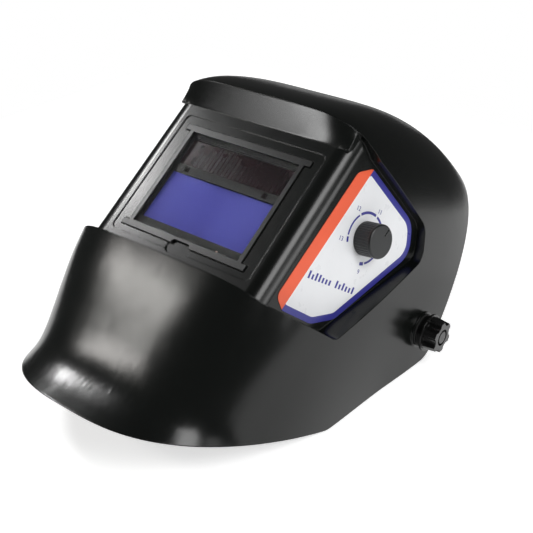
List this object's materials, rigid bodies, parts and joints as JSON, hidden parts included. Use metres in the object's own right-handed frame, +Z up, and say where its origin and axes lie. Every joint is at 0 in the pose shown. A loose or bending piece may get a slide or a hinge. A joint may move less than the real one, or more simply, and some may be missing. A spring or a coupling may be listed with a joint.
{
  "type": "welding helmet",
  "caption": "Auto-darkening welding helmet with lens cartridge, shade knob on the side and an adjustable pivoting headgear.",
  "frame": {"origin": "middle of the footprint on the bench plane", "axes": "+Z up as the helmet lies on its two jaw edges, -Y the front (chin lip), +X the wearer's left"},
  "size_m": [0.264, 0.3628, 0.1988],
  "materials": {
    "shell_plastic": "satin black moulded nylon with a fine texture",
    "frame_plastic": "satin black",
    "case_plastic": "fine matt black",
    "clear_lens": "clear polycarbonate sheet",
    "filter_glass": "dark blue interference-coated filter",
    "solar_cell": "dark violet cells with fine lines under clear cover",
    "sensor": "dark red lens",
    "lamp": "red lamp lens",
    "board": "green solder mask",
    "cell_metal": "nickel-plated",
    "screw_steel": "zinc-plated",
    "label_white": "printed film, white field with a blue dial scale",
    "label_red": "printed film, orange-red stripe",
    "label_blue": "printed film, blue border",
    "knob_plastic": "matt black with fine flutes",
    "pot_metal": "plain plated metal",
    "nut_brass": "plated",
    "shaft_metal": "turned",
    "band_plastic": "satin black flexible plastic",
    "pad_fabric": "dark padded cloth over foam",
    "washer_rubber": "matt",
    "rivet_plastic": "matt",
    "gear_plastic": "natural nylon"
  },
  "bodies": {
    "mask": {"shell": "shell_plastic", "front_lens_frame": "frame_plastic", "cover_lens": "clear_lens", "cartridge_front_case": "case_plastic", "lcd_filter_glass": "filter_glass", "solar_panel": "solar_cell", "arc_sensors": "sensor", "status_lamp": "lamp", "circuit_board": "board", "coin_cells": "cell_metal", "cartridge_rear_case": "case_plastic", "inner_cover_lens": "clear_lens", "cartridge_bracket": "frame_plastic", "bracket_screws": "screw_steel", "label_panel": "label_white", "label_stripe": "label_red", "label_border": "label_blue", "shade_potentiometer": "pot_metal", "shade_control_nut": "nut_brass", "lead_gland": "washer_rubber"},
    "shade_control": {"shade_knob": "knob_plastic", "shade_shaft": "shaft_metal"},
    "sensitivity_control": {"sensitivity_dial": "knob_plastic"},
    "delay_control": {"delay_dial": "knob_plastic"},
    "headgear": {"headband": "band_plastic", "sweatband": "pad_fabric", "pivot_arm_left": "band_plastic", "pivot_arm_right": "band_plastic", "friction_disc_left": "washer_rubber", "friction_disc_right": "washer_rubber", "pivot_stud_left": "screw_steel", "pivot_stud_right": "screw_steel", "rear_band_left": "band_plastic", "rear_band_right": "band_plastic", "crown_strap_left": "band_plastic", "crown_strap_right": "band_plastic", "crown_stud": "rivet_plastic", "band_rivets": "rivet_plastic", "ratchet_housing": "band_plastic", "ratchet_cover": "band_plastic", "ratchet_screws": "screw_steel", "rear_pad": "pad_fabric"},
    "tension_left": {"tension_knob_left": "knob_plastic", "knob_insert_left": "nut_brass", "pivot_washer_left": "washer_rubber"},
    "tension_right": {"tension_knob_right": "knob_plastic", "knob_insert_right": "nut_brass", "pivot_washer_right": "washer_rubber"},
    "size_knob": {"ratchet_knob": "knob_plastic", "ratchet_pinion": "gear_plastic"},
    "rack_left": {"size_rack_left": "gear_plastic"},
    "rack_right": {"size_rack_right": "gear_plastic"}
  },
  "joints": [
    {"name": "shade_turn", "type": "hinge", "parent": "mask", "child": "shade_control", "pos_m": [0.08837, 0.01809, 0.1143], "axis": [0.9744, -0.1285, 0.1846], "range_deg": [-135, 135]},
    {"name": "sensitivity_turn", "type": "hinge", "parent": "mask", "child": "sensitivity_control", "pos_m": [-0.012, -0.00725, 0.14722], "axis": [0, -0.5712, 0.8208], "range_deg": [0, 270]},
    {"name": "delay_turn", "type": "hinge", "parent": "mask", "child": "delay_control", "pos_m": [0.012, -0.00725, 0.14722], "axis": [0, -0.5712, 0.8208], "range_deg": [0, 270]},
    {"name": "headgear_pivot", "type": "hinge", "parent": "mask", "child": "headgear", "pos_m": [0, 0.0635, 0.0273], "axis": [1, 0, 0], "range_deg": [-58, 6]},
    {"name": "tension_turn_left", "type": "hinge", "parent": "headgear", "child": "tension_left", "pos_m": [0, 0.0635, 0.0273], "axis": [1, 0, 0], "range_deg": [-180, 180]},
    {"name": "tension_turn_right", "type": "hinge", "parent": "headgear", "child": "tension_right", "pos_m": [0, 0.0635, 0.0273], "axis": [-1, 0, 0], "range_deg": [-180, 180]},
    {"name": "size_turn", "type": "hinge", "parent": "headgear", "child": "size_knob", "pos_m": [0, 0.17, 0.0273], "axis": [0, 1, 0], "range_deg": [-75, 75]},
    {"name": "size_slide_left", "type": "slide", "parent": "headgear", "child": "rack_left", "axis": [1, 0, 0], "range_m": [-0.0081, 0.0081]},
    {"name": "size_slide_right", "type": "slide", "parent": "headgear", "child": "rack_right", "axis": [-1, 0, 0], "range_m": [-0.0081, 0.0081]}
  ],
  "couplings": [
    {"joint": "size_slide_left", "follows": "size_turn", "m_per_rad": 0.0059},
    {"joint": "size_slide_right", "follows": "size_turn", "m_per_rad": 0.0059}
  ]
}
